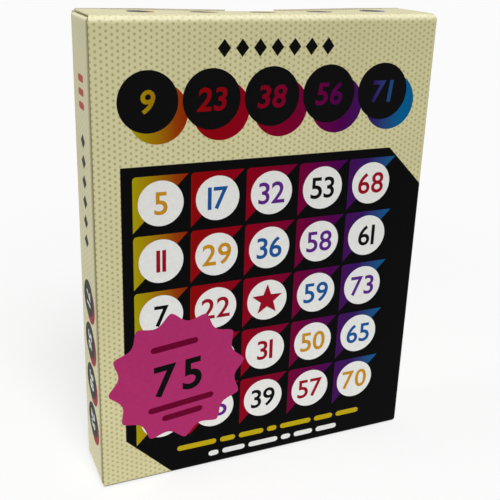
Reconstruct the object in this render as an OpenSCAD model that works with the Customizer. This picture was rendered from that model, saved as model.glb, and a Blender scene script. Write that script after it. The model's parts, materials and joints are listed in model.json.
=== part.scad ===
// Tuck-end paperboard carton that holds a deck of scratch-off bingo cards.
// X runs to the right seen from the front, Y from front to back and Z up.
// The origin is the centre of the base. The carton is sized round its deck.

/* [Cards] */
// Number of cards in the deck
card_count = 26; // [20:1:28]
// Width of a card
card_w = 114; // [90:1:150]
// Height of a card
card_h = 152; // [110:1:210]
// Thickness of a card
card_t = 0.55; // [0.4:0.05:0.7]
// Radius of a card's corners
card_corner_r = 5; // [2:0.5:10]

/* [Scratch film] */
// Thickness of the scratch-off film on each card
film_t = 0.05; // [0.03:0.01:0.1]
// Bare border between the film and the sides and foot of the card
film_border = 9; // [5:0.5:14]
// Radius of the film's corners
film_corner_r = 3; // [1:0.5:6]

/* [Room in the carton] */
// Gap between the deck and each side of the carton
side_gap = 2.5; // [1:0.1:6]
// Gap over the deck, under the folded dust flaps
headroom = 5.4; // [3:0.1:12]
// Gap between the deck and the dust flaps that it stands on
seat_gap = 0.2; // [0.1:0.05:0.4]
// Gap between the deck and the glue flap in front of it
deck_gap = 0.3; // [0.2:0.05:1]
// Free depth behind the deck, where the tuck flaps hang
tuck_room = 6.1; // [4.5:0.1:14]

/* [Board] */
// Thickness of the paperboard
board_t = 0.5; // [0.35:0.05:0.7]
// Outside radius of the board where it bends at a crease
crease_r = 1.5; // [1:0.1:2]

/* [Seam] */
// Distance of the front panel's cut edge from the left side of the carton
seam_inset = 0.3; // [0.1:0.1:1]
// Width of the glue flap behind the front panel
glue_w = 14; // [8:1:25]
// Distance of the glue flap's crease from the carton's ends
glue_end = 6; // [4:0.5:15]
// Slant of the glue flap's ends, in degrees
glue_slant = 20; // [10:1:35]

/* [Lids] */
// Distance of a lid's cut sides from the sides of the carton
lid_inset = 0.8; // [0.5:0.1:1.4]
// Gap between a lid and the dust flaps under it
lid_gap = 0.2; // [0.1:0.05:0.5]
// Radius of a lid's rear corners
lid_corner_r = 2; // [1:0.5:4]

/* [Tuck flaps] */
// Depth of a tuck flap, from its crease to its free edge
tuck_l = 12; // [9:0.5:14]
// Distance of a tuck flap's ends from the sides of the carton
tuck_inset = 9.5; // [8.5:0.5:14]
// Radius of a tuck flap's free corners
tuck_corner_r = 8; // [3:0.5:9]
// Gap between a tuck crease and the back panel
tuck_gap = 0.35; // [0.3:0.05:0.6]
// Width of the lock slit at each end of a tuck crease
slit_w = 0.3; // [0.2:0.1:0.8]

/* [Dust flaps] */
// Length of a dust flap, from the side of the carton
dust_l = 18; // [14:0.5:24]
// Length of the full-width shoulder that the lock slit catches
shoulder_l = 7.5; // [5:0.5:8]
// Step down from the shoulder to the flap's rear edge
shoulder_step = 1.6; // [1:0.1:2.5]
// Slant of the flap's rear edge, in degrees
rear_slant = 15; // [8:1:20]
// Gap between a dust flap's crease and the bends at its ends
crease_gap = 0.3; // [0.2:0.1:1]

/* [Thumb notch] */
// Radius of the half-round notch at the top of the back panel
thumb_r = 9; // [6:0.5:12]

/* [Hidden] */
$fn = 64;
// Share of a lid's turn that its tuck crease and dust flaps make with it
tuck_turn_share = -0.2;
dust_turn_share = 0.55;
// Margins on the least lean of a tuck flap and the least slant of a dust flap
lean_share = 1.23;
slant_share = 1.06;
// Share of a bend that its neighbour laps at the front right corners
corner_lap_share = 0.5;
// Angle at which two panels share a bend
mitre_a = 45;
// How far a cut runs past the face that it opens
overrun = 1;

// Deck and carton
card_pitch = card_t + film_t;
deck_t = card_count * card_pitch;
carton_w = card_w + 2 * (side_gap + board_t);
carton_d = 3 * board_t + deck_gap + deck_t + tuck_room;
flap_stack = board_t + lid_gap;
carton_h = card_h + headroom + seat_gap + 2 * (flap_stack + board_t);

// Faces and bend centres of the sleeve
front_y = -carton_d / 2;
back_y = carton_d / 2;
glue_y = front_y + board_t;
left_x = -carton_w / 2;
front_x0 = left_x + seam_inset;
bend_x = carton_w / 2 - crease_r;
corner_lap = crease_r * corner_lap_share;
glue_x1 = left_x + glue_w;
glue_rise = (glue_x1 + bend_x) * tan(glue_slant);

// Levels of the dust flaps, and the stretch of side wall between their bends
dust_z0 = flap_stack;
dust_z1 = carton_h - flap_stack;
side_z0 = dust_z0 + crease_r;
side_z1 = dust_z1 - crease_r;

// Outline of a dust flap along the depth
dust_y0 = glue_y + crease_r + crease_gap;
dust_y1 = back_y - crease_r - crease_gap;
front_slant = atan(dust_turn_share * slant_share);
dust_run = dust_l - crease_r;
rear_run = dust_l - shoulder_l - shoulder_step;
tip_y0 = dust_y0 + dust_run * tan(front_slant);
tip_y1 = dust_y1 - shoulder_step - rear_run * tan(rear_slant);

// Lid and tuck flap
lid_half = carton_w / 2 - lid_inset;
lid_y1 = back_y - board_t - tuck_gap;
tuck_half = carton_w / 2 - tuck_inset;
tuck_bend = [lid_y1 - crease_r, carton_h - crease_r];
tuck_flat = tuck_l - crease_r;
tuck_swing = tuck_l * (1 + tuck_turn_share) * (1 + tuck_turn_share) / (2 * carton_d);
tuck_lean = lean_share * tuck_swing * 180 / PI;

// Places of the cards and of the film on them
deck_y = glue_y + board_t + deck_gap;
deck_z = dust_z0 + board_t + seat_gap;
film_w = card_w - 2 * film_border;

function card_name(i) = str("card_", i < 10 ? "0" : "", i);
function card_y(i) = deck_y + (i - 1) * card_pitch + film_t;

// Prisms of an outline drawn in the plane across X, Y or Z
module prism_x(from, to) translate([from, 0, 0]) rotate([90, 0, 90]) linear_extrude(to - from) children();
module prism_y(from, to) translate([0, to, 0]) rotate([90, 0, 0]) linear_extrude(to - from) children();
module prism_z(from, to) translate([0, 0, from]) linear_extrude(to - from) children();

// The carton's foot is its top turned over, and its right side its left side mirrored
module at_bottom() translate([0, 0, carton_h]) mirror([0, 0, 1]) children();
module at_right() mirror([1, 0, 0]) children();
module at_both_ends() {
    children();
    at_bottom() children();
}

module rect(low, high) translate(low) square(high - low);

// A plate with two square corners at y0 and two round ones at y1
module round_ended(half, y0, y1, r) intersection() {
    rect([-half, y0], [half, y1]);
    union() {
        rect([-half, y0], [half, y1 - r]);
        rect([r - half, y0], [half - r, y1]);
        for (side = [-1, 1]) translate([side * (half - r), y1 - r]) circle(r);
    }
}

// A rectangle with four round corners
module rounded(low, high, r) {
    rect([low.x + r, low.y], [high.x - r, high.y]);
    rect([low.x, low.y + r], [high.x, high.y - r]);
    for (x = [low.x + r, high.x - r], y = [low.y + r, high.y - r]) translate([x, y]) circle(r);
}

// A pie slice that reaches past the outside of a bend
module slice(from_a, to_a) {
    reach = 2 * crease_r;
    middle_a = (from_a + to_a) / 2;
    polygon([[0, 0], for (a = [from_a, middle_a, to_a]) reach * [cos(a), sin(a)]]);
}

// Section of the bent board round a crease, between two angles
module bend(centre, from_a, to_a) translate(centre) intersection() {
    difference() {
        circle(crease_r);
        circle(crease_r - board_t);
    }
    slice(from_a, to_a);
}

// Front panel: its left edge is cut, its right edge bends into the side, its ends into the lids
module front_panel() color("beige") {
    prism_x(front_x0, bend_x)
        rect([front_y, crease_r], [front_y + board_t, carton_h - crease_r]);
    at_both_ends() prism_x(front_x0, bend_x + corner_lap)
        bend([front_y + crease_r, carton_h - crease_r], 180 - mitre_a, 180);
    prism_z(crease_r - corner_lap, carton_h - crease_r + corner_lap)
        bend([bend_x, front_y + crease_r], 270, 270 + mitre_a);
}

// Side panel, drawn on the left: bends into its front neighbour at fold_y and into the back panel
module side_panel(fold_y) {
    prism_z(side_z0, side_z1) {
        rect([left_x, fold_y + crease_r], [left_x + board_t, back_y - crease_r]);
        bend([-bend_x, fold_y + crease_r], 180, 180 + mitre_a);
        bend([-bend_x, back_y - crease_r], 180 - mitre_a, 180);
    }
    at_both_ends() prism_y(dust_y0, dust_y1)
        bend([-bend_x, side_z1], 180 - mitre_a, 180);
}

module right_panel() color("wheat") at_right() side_panel(front_y);

module left_panel() color("wheat") side_panel(glue_y);

// Back panel: cut ends, bends into both sides, thumb notch over the top tuck flap
module back_panel() color("beige") difference() {
    union() {
        prism_y(back_y - board_t, back_y) rect([-bend_x, 0], [bend_x, carton_h]);
        for (side = [0, 1]) mirror([side, 0, 0]) prism_z(dust_z0, dust_z1)
            bend([bend_x, back_y - crease_r], mitre_a, 90);
    }
    prism_y(back_y - board_t - overrun, back_y + overrun) translate([0, carton_h]) circle(thumb_r);
}

// Glue flap: folds out of the left side and lies behind the front panel
module glue_flap() color("ivory") {
    prism_z(glue_end, carton_h - glue_end)
        bend([-bend_x, glue_y + crease_r], 180 + mitre_a, 270);
    prism_y(glue_y, glue_y + board_t) polygon([
        [-bend_x, glue_end],
        [glue_x1, glue_end + glue_rise],
        [glue_x1, carton_h - glue_end - glue_rise],
        [-bend_x, carton_h - glue_end]
    ]);
}

// Lid: bends out of the front panel and into the tuck flap, with a lock tab past each slit
module lid() {
    prism_x(-lid_half, lid_half)
        bend([front_y + crease_r, carton_h - crease_r], 90, 90 + mitre_a);
    prism_z(carton_h - board_t, carton_h) difference() {
        round_ended(lid_half, front_y + crease_r, lid_y1, lid_corner_r);
        rect([-tuck_half - slit_w, tuck_bend.x], [tuck_half + slit_w, lid_y1 + overrun]);
    }
    prism_x(-tuck_half, tuck_half) bend(tuck_bend, mitre_a, 90);
}

module top_lid() color("lemonchiffon") lid();

module bottom_lid() color("lemonchiffon") at_bottom() lid();

// Tuck flap: the bend runs on past square, so that the flap leans away from the back panel
module tuck_flap() translate([0, tuck_bend.x, tuck_bend.y]) rotate([-tuck_lean, 0, 0]) {
    prism_x(-tuck_half, tuck_half) bend([0, 0], 0, mitre_a + tuck_lean);
    prism_y(crease_r - board_t, crease_r) mirror([0, 1])
        round_ended(tuck_half, 0, tuck_flat, tuck_corner_r);
}

module top_tuck_flap() color("khaki") tuck_flap();

module bottom_tuck_flap() color("khaki") at_bottom() tuck_flap();

// Dust flap, drawn at the top left: front edge slanted clear of the turning lid, shoulder at the rear
module dust_flap() {
    prism_y(dust_y0, dust_y1) bend([-bend_x, side_z1], 90, 180 - mitre_a);
    prism_z(dust_z1 - board_t, dust_z1) translate([left_x, 0]) polygon([
        [crease_r, dust_y0],
        [dust_l, tip_y0],
        [dust_l, tip_y1],
        [shoulder_l + shoulder_step, dust_y1 - shoulder_step],
        [shoulder_l, dust_y1],
        [crease_r, dust_y1]
    ]);
}

module top_left_dust_flap() color("palegoldenrod") dust_flap();

module top_right_dust_flap() color("palegoldenrod") at_right() dust_flap();

module bottom_left_dust_flap() color("palegoldenrod") at_bottom() dust_flap();

module bottom_right_dust_flap() color("palegoldenrod") at_bottom() at_right() dust_flap();

// One card of the deck, counted from the front
module card(i) color("white") prism_y(card_y(i), card_y(i) + card_t)
    rounded([-card_w / 2, deck_z], [card_w / 2, deck_z + card_h], card_corner_r);

// The square of scratch-off film on the face of every card
module scratch_films() color("silver") for (i = [1:card_count])
    prism_y(card_y(i) - film_t, card_y(i)) rounded(
        [-film_w / 2, deck_z + film_border],
        [film_w / 2, deck_z + film_border + film_w],
        film_corner_r
    );

front_panel();
right_panel();
back_panel();
left_panel();
glue_flap();
top_lid();
top_tuck_flap();
top_left_dust_flap();
top_right_dust_flap();
bottom_lid();
bottom_tuck_flap();
bottom_left_dust_flap();
bottom_right_dust_flap();
for (i = [1:card_count]) card(i);
scratch_films();
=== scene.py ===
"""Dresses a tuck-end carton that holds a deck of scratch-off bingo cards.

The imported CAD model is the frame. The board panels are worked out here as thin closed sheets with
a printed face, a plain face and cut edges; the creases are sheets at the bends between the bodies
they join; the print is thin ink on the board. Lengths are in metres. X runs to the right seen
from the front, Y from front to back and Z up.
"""

import json
import logging
import math
from dataclasses import dataclass, replace
from enum import Enum
from typing import Any, Optional, Sequence, Union

import bpy
import numpy as np
from mathutils import Matrix, Vector

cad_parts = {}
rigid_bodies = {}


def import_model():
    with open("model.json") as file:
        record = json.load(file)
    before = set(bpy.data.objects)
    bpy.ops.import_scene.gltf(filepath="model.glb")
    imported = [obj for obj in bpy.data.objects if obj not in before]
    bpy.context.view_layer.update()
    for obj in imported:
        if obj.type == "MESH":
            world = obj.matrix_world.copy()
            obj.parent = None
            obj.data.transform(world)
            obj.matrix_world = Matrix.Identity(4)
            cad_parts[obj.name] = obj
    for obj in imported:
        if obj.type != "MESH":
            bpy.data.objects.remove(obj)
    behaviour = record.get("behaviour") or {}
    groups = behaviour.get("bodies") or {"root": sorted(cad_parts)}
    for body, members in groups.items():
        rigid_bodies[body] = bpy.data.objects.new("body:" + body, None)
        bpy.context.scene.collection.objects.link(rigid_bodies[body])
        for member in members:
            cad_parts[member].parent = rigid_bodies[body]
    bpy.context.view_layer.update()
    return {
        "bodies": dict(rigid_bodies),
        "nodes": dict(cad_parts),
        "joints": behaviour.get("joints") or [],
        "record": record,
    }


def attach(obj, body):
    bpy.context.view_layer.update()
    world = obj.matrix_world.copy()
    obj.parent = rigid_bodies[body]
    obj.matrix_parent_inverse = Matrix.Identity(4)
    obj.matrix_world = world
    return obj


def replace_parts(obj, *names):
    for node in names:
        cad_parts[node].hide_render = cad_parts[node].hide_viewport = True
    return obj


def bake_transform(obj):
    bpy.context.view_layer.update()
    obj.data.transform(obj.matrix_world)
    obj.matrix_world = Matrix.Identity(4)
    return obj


LOG = logging.getLogger("carton")
MM = 0.001
SHARP_ANGLE = math.radians(35)
Colour = tuple[int, int, int]
Number = Union["Signal", float]
Place = tuple[float, float, float]


class Outside(Enum):
    """The side of a path that faces out, as the sign of its right-hand normal."""

    RIGHT = 1
    LEFT = -1


class Sweep(Enum):
    """Direction in which a section is carried: axes of the section, then the axis of the sweep."""

    X = (1, 2, 0)
    Y = (0, 2, 1)
    Z = (0, 1, 2)


class End(Enum):
    """An end of the carton."""

    TOP = "top"
    BOTTOM = "bottom"


class Side(Enum):
    """A side of the carton, as the sign of X."""

    LEFT = -1
    RIGHT = 1


class Wall(Enum):
    """A wall of the sleeve, by the node that it replaces."""

    FRONT = "front_panel"
    RIGHT = "right_panel"
    BACK = "back_panel"
    LEFT = "left_panel"
    GLUE = "glue_flap"


class BoardFace(Enum):
    """Material slots of a sheet of board."""

    PRINTED = 0
    PLAIN = 1
    CUT = 2


class InkColour(Enum):
    """Inks of the print, as sRGB levels."""

    BLACK = (10, 10, 11)
    WHITE = (234, 234, 230)
    AMBER = (196, 140, 22)
    VIOLET = (92, 36, 132)
    CRIMSON = (150, 12, 34)
    BLUE = (24, 84, 150)
    ROSE = (174, 48, 106)
    MAROON = (104, 2, 44)
    YELLOW = (190, 166, 20)
    RED = (186, 70, 54)


@dataclass(frozen=True)
class CartonSizes:
    """Sizes of the carton as its solids have them, then those of the soft forms made here alone."""

    width: float = 120 * MM
    depth: float = 23.5 * MM
    height: float = 160 * MM
    board: float = 0.5 * MM
    crease_r: float = 1.5 * MM
    seam_inset: float = 0.3 * MM
    glue_w: float = 14 * MM
    glue_end: float = 6 * MM
    glue_slant: float = 20.0
    lid_inset: float = 0.8 * MM
    lid_gap: float = 0.2 * MM
    lid_corner_r: float = 2 * MM
    tuck_gap: float = 0.35 * MM
    tuck_l: float = 12 * MM
    tuck_inset: float = 9.5 * MM
    tuck_corner_r: float = 8 * MM
    tuck_lean: float = 11.515
    slit_w: float = 0.3 * MM
    dust_l: float = 18 * MM
    dust_slant: float = 30.24
    shoulder_l: float = 7.5 * MM
    shoulder_step: float = 1.6 * MM
    rear_slant: float = 15.0
    crease_gap: float = 0.3 * MM
    thumb_r: float = 9 * MM
    front_r: float = 2.5 * MM
    ink: float = 0.1 * MM
    lid_sag: float = 0.75 * MM
    back_over: float = 0.2 * MM
    ear: float = 0.7 * MM

    @property
    def front_y(self) -> float:
        """The front face."""
        return -self.depth / 2

    @property
    def back_y(self) -> float:
        """The back face."""
        return self.depth / 2

    @property
    def bend_x(self) -> float:
        """Centre of the upright bends, as a distance from the middle."""
        return self.width / 2 - self.crease_r

    @property
    def glue_y(self) -> float:
        """The glue flap's face, behind the front panel."""
        return self.front_y + self.board

    @property
    def side_top(self) -> float:
        """Height at which the side walls bend into the dust flaps."""
        return self.height - self.board - self.lid_gap - self.crease_r

    @property
    def dust_span(self) -> tuple[float, float]:
        """Ends of the dust flaps' creases along the depth."""
        trim = self.crease_r + self.crease_gap
        return self.glue_y + trim, self.back_y - trim

    @property
    def lid_half(self) -> float:
        """Half the width of a lid."""
        return self.width / 2 - self.lid_inset

    @property
    def lid_rear(self) -> float:
        """The rear edge of a lid's lock tabs."""
        return self.back_y - self.board - self.tuck_gap

    @property
    def tuck_half(self) -> float:
        """Half the width of a tuck flap."""
        return self.width / 2 - self.tuck_inset

    @property
    def quarter(self) -> float:
        """Length of a quarter turn round a crease, on the outside."""
        return self.crease_r * math.pi / 2


SIZES = CartonSizes()


def smooth(share: np.ndarray) -> np.ndarray:
    """Smooth step from 0 to 1: 3 t^2 - 2 t^3 of the share cut to that range."""
    t = np.clip(share, 0.0, 1.0)
    return t * t * (3.0 - 2.0 * t)


def bulge(x: np.ndarray, half: float) -> np.ndarray:
    """Bulge (1 - (x / half)^2)^2 across a width: 1 in the middle, 0 at the ends and past them."""
    return np.clip(1.0 - (x / half) ** 2, 0.0, None) ** 2


def corner_fall(over: np.ndarray, radius: float) -> np.ndarray:
    """Fall of a round corner, r - sqrt(r^2 - d^2), at a distance d past its start."""
    over = np.clip(over, 0.0, radius)
    return radius - np.sqrt(radius**2 - over**2)


def around(turn: np.ndarray) -> np.ndarray:
    """Points of the unit circle, (cos t, sin t)."""
    return np.stack([np.cos(turn), np.sin(turn)], -1)


def linear(colour: Colour) -> tuple[float, ...]:
    """An sRGB colour as a linear one: v / 12.92 in the dark, else ((v + 0.055) / 1.055)^2.4.

    Args:
        colour: The colour, in levels from 0 to 255.

    Returns:
        The linear colour with full alpha.
    """
    level = np.asarray(colour) / 255.0
    value = np.where(level <= 0.04045, level / 12.92, ((level + 0.055) / 1.055) ** 2.4)
    return (*value.tolist(), 1.0)


@dataclass(frozen=True)
class Leg:
    """One stretch of a path: its length, and its turn to the left in degrees."""

    length: float
    turn: float = 0.0


class Path:
    """A flat path of straight and round legs.

    On a leg of curvature k whose first heading is h, the place at a distance s is the end of a
    chord from the leg's start, of length s sin(k s / 2) / (k s / 2) and heading h + k s / 2.
    """

    round_step: float = math.radians(7.5)

    def __init__(
        self, start: tuple[float, float], heading: float, legs: Sequence[Leg], outside: Outside
    ) -> None:
        """Lays the legs one after another.

        Args:
            start: First point of the path.
            heading: First heading, in degrees to the left of the first axis.
            legs: The stretches in order.
            outside: The side that faces out.
        """
        self.lengths = np.array([leg.length for leg in legs])
        turns = np.radians([leg.turn for leg in legs])
        self.ends = np.concatenate([[0.0], np.cumsum(self.lengths)])
        self.headings = math.radians(heading) + np.concatenate([[0.0], np.cumsum(turns)])[:-1]
        self.bends = turns / self.lengths
        self.sign = outside.value
        self.starts = np.zeros((len(legs), 2))
        self.starts[0] = start
        for index in range(1, len(legs)):
            self.starts[index] = self._place(index - 1, self.lengths[index - 1])

    def _place(self, leg: np.ndarray, run: np.ndarray) -> np.ndarray:
        """Points on given legs, by the chord from each leg's start.

        Args:
            leg: Numbers of the legs.
            run: Distances from the legs' starts.

        Returns:
            The points, with one more axis of length 2.
        """
        half = self.bends[leg] * run / 2
        chord = run * np.sinc(half / math.pi)
        return self.starts[leg] + np.asarray(chord)[..., None] * around(self.headings[leg] + half)

    def at(self, run: np.ndarray) -> tuple[np.ndarray, np.ndarray]:
        """Points and outward normals at distances along the path.

        Args:
            run: Distances from the start, in an array of any shape.

        Returns:
            The points and the normals, each with one more axis of length 2.
        """
        leg = np.clip(np.searchsorted(self.ends, run, side="right") - 1, 0, len(self.lengths) - 1)
        rest = run - self.ends[leg]
        turned = self.headings[leg] + self.bends[leg] * rest
        normal = self.sign * np.stack([np.sin(turned), -np.cos(turned)], -1)
        return self._place(leg, rest), normal

    def stations(self, first: int, last: int, extra: Sequence[float] = (), steps: int = 6) -> np.ndarray:
        """Distances at which the legs are cut into steps.

        Args:
            first: Number of the first leg.
            last: Number of the last leg.
            extra: Further distances to include.
            steps: Steps of a straight leg.

        Returns:
            Rising distances from the first leg's start to the last leg's end.
        """
        cuts = [np.asarray(extra, float)]
        for leg in range(first, last + 1):
            turn = abs(self.bends[leg] * self.lengths[leg])
            count = max(2, math.ceil(turn / self.round_step)) if turn else steps
            cuts.append(np.linspace(self.ends[leg], self.ends[leg + 1], count + 1))
        return np.unique(np.round(np.concatenate(cuts), 9))


@dataclass(frozen=True)
class Sheet:
    """Grids of points on the two faces of a sheet of board, with its blank coordinates, scuff and painted
    light.
    """

    printed: np.ndarray
    plain: np.ndarray
    blank: np.ndarray

    @classmethod
    def lay(
        cls,
        path: Path,
        run: np.ndarray,
        cross: np.ndarray,
        sweep: Sweep,
        blank_from: float = 0.0,
        wear: Union[np.ndarray, float] = 0.0,
    ) -> "Sheet":
        """A path's section carried across: point = section(run) + cross along the sweep's axis.

        Args:
            path: Path of the printed face in the plane of the section.
            run: Distances along the path, a grid or an array that spreads to one.
            cross: Places along the sweep, likewise.
            sweep: Direction of the sweep.
            blank_from: Distance along the flat blank at the path's start.
            wear: How far the coating is scuffed and lightened with painted highlight, from 0 to 1, or
                darkened with painted shade, from 0 to -1.

        Returns:
            The sheet, with its printed face under the solids' face by the room for the ink.
        """
        run, cross = np.broadcast_arrays(np.asarray(run, float), np.asarray(cross, float))
        place, normal = path.at(run)
        first, second, along = sweep.value
        faces = []
        for depth in (SIZES.ink, SIZES.board):
            points = np.empty(run.shape + (3,))
            points[..., first] = place[..., 0] - depth * normal[..., 0]
            points[..., second] = place[..., 1] - depth * normal[..., 1]
            points[..., along] = cross
            faces.append(points)
        upright = sweep is Sweep.Z
        blank = np.empty(run.shape + (3,))
        blank[..., 0 if upright else 1] = blank_from + run
        blank[..., 1 if upright else 0] = cross
        blank[..., 2] = wear
        return cls(faces[0], faces[1], blank)

    def mirrored(self, axis: int, total: float = 0.0) -> "Sheet":
        """The sheet mirrored along an axis: place becomes total - place.

        Args:
            axis: Number of the axis.
            total: Sum of a place and its mirror image.

        Returns:
            The mirrored sheet, whose blank is mirrored with its height alone.
        """
        faces = [self.printed.copy(), self.plain.copy()]
        for points in faces:
            points[..., axis] = total - points[..., axis]
        blank = self.blank.copy()
        if axis == 2:
            blank[..., 1] = total - blank[..., 1]
        return Sheet(faces[0], faces[1], blank)

    def lowered(self, drop: np.ndarray) -> "Sheet":
        """The sheet with every point lowered by a grid of drops.

        Args:
            drop: The drops.

        Returns:
            The lowered sheet.
        """
        shift = np.zeros(self.printed.shape)
        shift[..., 2] = drop
        return replace(self, printed=self.printed - shift, plain=self.plain - shift)

    def shell(self) -> tuple[np.ndarray, np.ndarray]:
        """The closed shell between the faces: the grids' cells, and walls that join their rims.

        Returns:
            Quads that face outwards, and the material slot of each.
        """
        rows, cols = self.printed.shape[:2]
        index = np.arange(rows * cols).reshape(rows, cols)
        front = np.stack([index[:-1, :-1], index[1:, :-1], index[1:, 1:], index[:-1, 1:]], -1)
        front = front.reshape(-1, 4)
        rim = np.concatenate([index[0, :-1], index[:-1, -1], index[-1, :0:-1], index[:0:-1, 0]])
        after = np.roll(rim, -1)
        count = rows * cols
        walls = np.stack([rim, after, after + count, rim + count], -1)
        quads = np.concatenate([front, front[:, ::-1] + count, walls])
        row, col = rows // 2, cols // 2
        middle = self.printed[row, col]
        back, aside = self.printed[row - 1, col] - middle, self.printed[row, col - 1] - middle
        if np.dot(np.cross(back, aside), middle - self.plain[row, col]) < 0.0:
            quads = quads[:, ::-1]
        kinds = [BoardFace.PRINTED.value, BoardFace.PLAIN.value, BoardFace.CUT.value]
        return quads, np.repeat(kinds, [len(front), len(front), len(walls)])


def make_piece(
    name: str,
    points: np.ndarray,
    faces: np.ndarray,
    slots: np.ndarray,
    materials: Sequence[bpy.types.Material],
    blank: Optional[np.ndarray] = None,
) -> bpy.types.Object:
    """Puts whole arrays into a mesh and links its object at the origin.

    Args:
        name: Name of the piece.
        points: Vertices, one row each.
        faces: Corners of the faces, all of one kind.
        slots: Material slot of each face.
        materials: The slots' materials.
        blank: Blank coordinates, scuff and painted light of each vertex.

    Returns:
        The new object.
    """
    mesh = bpy.data.meshes.new(name)
    corners = faces.shape[1]
    mesh.vertices.add(len(points))
    mesh.vertices.foreach_set("co", np.ascontiguousarray(points, np.float32).ravel())
    mesh.loops.add(faces.size)
    mesh.loops.foreach_set("vertex_index", np.ascontiguousarray(faces, np.int32).ravel())
    mesh.polygons.add(len(faces))
    mesh.polygons.foreach_set("loop_start", np.arange(0, faces.size, corners, dtype=np.int32))
    mesh.polygons.foreach_set("material_index", np.ascontiguousarray(slots, np.int32))
    mesh.polygons.foreach_set("use_smooth", np.ones(len(faces), bool))
    mesh.update(calc_edges=True)
    mesh.validate()
    mesh.set_sharp_from_angle(angle=SHARP_ANGLE)
    if blank is not None:
        attribute = mesh.attributes.new("blank", "FLOAT_VECTOR", "POINT")
        attribute.data.foreach_set("vector", np.ascontiguousarray(blank, np.float32).ravel())
    for material in materials:
        mesh.materials.append(material)
    piece = bpy.data.objects.new(name, mesh)
    bpy.context.scene.collection.objects.link(piece)
    LOG.info("%s: %d points, %d faces", name, len(points), len(faces))
    return piece


@dataclass(frozen=True)
class Signal:
    """A number that runs through a node tree; its arithmetic adds Math nodes."""

    graph: "Graph"
    socket: bpy.types.NodeSocket

    def math(self, operation: str, *others: Number) -> "Signal":
        """A Math node on this number and others.

        Args:
            operation: Name of the node's operation.
            others: The further numbers.

        Returns:
            The result.
        """
        node = self.graph.node("ShaderNodeMath")
        node.operation = operation
        for socket, value in zip(node.inputs, (self, *others)):
            self.graph.feed(socket, value)
        return Signal(self.graph, node.outputs[0])

    def __add__(self, other: Number) -> "Signal":
        """Sum."""
        return self.math("ADD", other)

    def __sub__(self, other: Number) -> "Signal":
        """Difference."""
        return self.math("SUBTRACT", other)

    def __mul__(self, other: Number) -> "Signal":
        """Product."""
        return self.math("MULTIPLY", other)

    def __truediv__(self, other: Number) -> "Signal":
        """Quotient."""
        return self.math("DIVIDE", other)

    def __neg__(self) -> "Signal":
        """The number with its sign turned."""
        return self.math("MULTIPLY", -1.0)

    def ramp(self, start: float, end: float, low: float = 0.0, high: float = 1.0) -> "Signal":
        """Smooth step from one level to another: 3 t^2 - 2 t^3 of the share of the way.

        Args:
            start: Number at which the step starts.
            end: Number at which it ends.
            low: Level at the start.
            high: Level at the end.

        Returns:
            The level.
        """
        node = self.graph.node("ShaderNodeMapRange")
        node.interpolation_type = "SMOOTHSTEP"
        self.graph.feed(node.inputs["Value"], self)
        for socket, value in zip(("From Min", "From Max", "To Min", "To Max"), (start, end, low, high)):
            node.inputs[socket].default_value = value
        return Signal(self.graph, node.outputs["Result"])


@dataclass(frozen=True)
class Grain:
    """A noise: its scale per metre, its detail and its stretch along the axes."""

    scale: float
    detail: float = 2.0
    stretch: Place = (1.0, 1.0, 1.0)


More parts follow.
